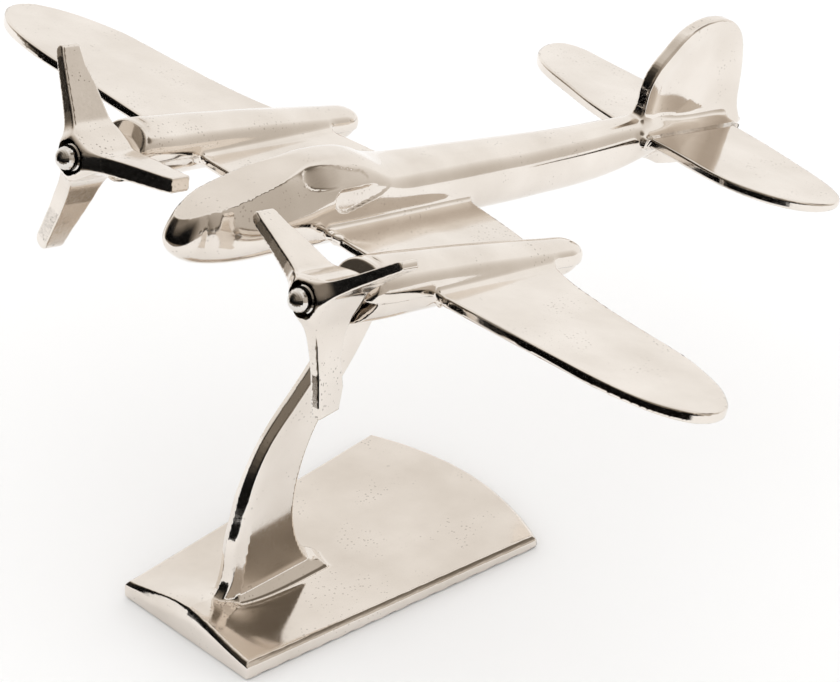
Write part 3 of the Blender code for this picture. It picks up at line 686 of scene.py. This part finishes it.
# --- pieces --------------------------------------------------------------------
AIRFRAME_NODES = ["fuselage", "wing_port", "wing_starboard", "nacelle_port", "nacelle_starboard", "fin",
                  "tailplane_port", "tailplane_starboard"]
STAND_NODES = ["stand_strut", "stand_base"]


def build():
    skin("airframe_skin", airframe, (-172.4, -74.6, 131.2), (172.4, 209.2, 196.0), cast,
         "airframe_and_stand", AIRFRAME_NODES)
    skin("stand_skin", stand, (-45, -64, -1.5), (45, 75, 136), cast, "airframe_and_stand", STAND_NODES,
         pitch=False)
    for side, word, blades in ((1, "port", PORT_BLADES), (-1, "starboard", STARBOARD_BLADES)):
        middle = np.array([side * ENGINE_X, -52.0, SHAFT_Z])
        room = np.array([47, 11.5, 47])
        skin("propeller_skin_" + word, propeller(side, blades), middle - room, middle + room, vane_metal,
             word + "_propeller", ["propeller_" + word], cell=PROPELLER_CELL)
    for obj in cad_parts.values():
        obj.data.materials.clear()
        obj.data.materials.append(steel)


# --- studio ---------------------------------------------------------------------
def facing(tree, way, azimuth, elevation):
    """How nearly a direction points at an azimuth and elevation, from 1 down to -1. Azimuth 0 is in front."""
    a, e = radians(azimuth), radians(elevation)
    node = add(tree, "ShaderNodeVectorMath", operation="DOT_PRODUCT")
    node.inputs[1].default_value = (sin(a) * cos(e), -cos(a) * cos(e), sin(e))
    tree.links.new(way, node.inputs[0])
    return node.outputs["Value"]


# Dim parts of the room: azimuth, elevation, how nearly a direction faces it where it starts to dim and where
# it is fully dim, and the brightness left there.
DIM_PARTS = [
    (8, 0, -0.25, 0.5, 0.22),  # the room in front
    (122, 12, 0.70, 0.97, 0.58),  # the right
    (142, 45, 0.935, 0.98, 0.2),  # high behind, to the right
    (-136, 40, 0.90, 0.985, 0.89),  # high behind, to the left
    (-42, 22, 0.80, 0.94, 0.15),  # a doorway, front left
]
BLACK = 0.008  # brightness of the unlit front of the room


def reflected_room(tree):
    """What polished metal sees by direction: a bright sweep behind and above, and a dark room in front."""
    way = tree.nodes.new("ShaderNodeTexCoord").outputs["Generated"]
    dims = [ramp(tree, facing(tree, way, azimuth, elevation), start, full, 1.0, left)
            for azimuth, elevation, start, full, left in DIM_PARTS]
    level = dims[0]
    for dim in dims[1:]:
        level = times(tree, level, dim)

    height = tree.nodes.new("ShaderNodeSeparateXYZ")
    tree.links.new(way, height.inputs["Vector"])
    up = height.outputs["Z"]
    above = ramp(tree, up, 0.22, 0.60, 0.0, 1.0)
    below = ramp(tree, up, -0.36, -0.26, 1.0, 0.0)
    away_from_front = ramp(tree, facing(tree, way, 10, 4), 0.30, 0.48, 1.0, 0.0)
    lit = largest(tree, above, below, away_from_front)
    return times(tree, level, ramp(tree, lit, 0.0, 1.0, BLACK, 1.0))


def sheet(name, low, high, height, mat):
    """Level rectangle of the stage, in metres."""
    mesh = bpy.data.meshes.new(name)
    (x0, y0), (x1, y1) = low, high
    corners = [(x0, y0, height), (x1, y0, height), (x1, y1, height), (x0, y1, height)]
    mesh.from_pydata(corners, [], [(0, 1, 2, 3)])
    mesh.materials.append(mat)
    obj = bpy.data.objects.new(name, mesh)
    bpy.context.scene.collection.objects.link(obj)
    return obj


FLOOR_COLOUR, FLOOR_ROUGHNESS, FLOOR_GLOSS = (0.93, 0.925, 0.92), 0.9, 0.1
FLOOR_DROP = 0.0004  # the floor lies just below the table and the object, in metres
ROOM_LIGHT = 1.15
DIM_TINT, BRIGHT_TINT = (1.0, 0.82, 0.62), (1.0, 0.985, 0.965)


def floor():
    """Reflections see a table that ends close in front. The camera sees a floor with no edge."""
    mat, tree, shader = nodes_of("pale_floor")
    shader.inputs["Base Color"].default_value = (*FLOOR_COLOUR, 1)
    shader.inputs["Roughness"].default_value = FLOOR_ROUGHNESS
    shader.inputs["Specular IOR Level"].default_value = FLOOR_GLOSS
    table = sheet("table", (-0.9, -0.32), (1.4, 1.6), 0.0, mat)
    table.visible_camera = table.visible_diffuse = table.visible_shadow = False
    apron = sheet("floor", (-5, -5), (5, 5), -FLOOR_DROP, mat)
    apron.visible_glossy = False


def studio():
    """Even white light from all round, in which polished metal reflects the room."""
    world = bpy.data.worlds.new("studio")
    bpy.context.scene.world = world
    world.use_nodes = True
    tree = world.node_tree
    plain = tree.nodes["Background"]
    plain.inputs["Color"].default_value = (1.0, 1.0, 1.0, 1)
    plain.inputs["Strength"].default_value = ROOM_LIGHT
    room = reflected_room(tree)
    warmth = tree.nodes.new("ShaderNodeValToRGB")
    warmth.color_ramp.elements[0].color = (*DIM_TINT, 1)
    warmth.color_ramp.elements[1].color = (*BRIGHT_TINT, 1)
    tree.links.new(room, warmth.inputs["Fac"])
    seen = tree.nodes.new("ShaderNodeBackground")
    tree.links.new(warmth.outputs["Color"], seen.inputs["Color"])
    tree.links.new(room, seen.inputs["Strength"])
    mix = tree.nodes.new("ShaderNodeMixShader")
    tree.links.new(tree.nodes.new("ShaderNodeLightPath").outputs["Is Glossy Ray"], mix.inputs["Fac"])
    tree.links.new(plain.outputs["Background"], mix.inputs[1])
    tree.links.new(seen.outputs["Background"], mix.inputs[2])
    tree.links.new(mix.outputs["Shader"], tree.nodes["World Output"].inputs["Surface"])
    bpy.context.scene.view_settings.view_transform = "Standard"


CAMERA_AT = (0.9268, -0.8439, 0.9302)
CAMERA_TURN = [radians(angle) for angle in (46.182, 33.74, 1.049)]  # azimuth, elevation and roll
SENSOR_WIDTH, LENS = 36.0, 194.16


def camera():
    azimuth, elevation, roll = CAMERA_TURN
    right = Vector((cos(azimuth), sin(azimuth), 0))
    back = Vector((sin(azimuth) * cos(elevation), -cos(azimuth) * cos(elevation), sin(elevation)))
    up = back.cross(right)
    right, up = cos(roll) * right + sin(roll) * up, cos(roll) * up - sin(roll) * right
    data = bpy.data.cameras.new("camera")
    data.sensor_width, data.lens = SENSOR_WIDTH, LENS
    data.clip_start, data.clip_end = 0.05, 50
    obj = bpy.data.objects.new("camera", data)
    turn = Matrix((right, up, back)).transposed().to_4x4()
    obj.matrix_world = Matrix.Translation(CAMERA_AT) @ turn
    bpy.context.scene.collection.objects.link(obj)
    bpy.context.scene.camera = obj


build()
floor()
studio()
camera()
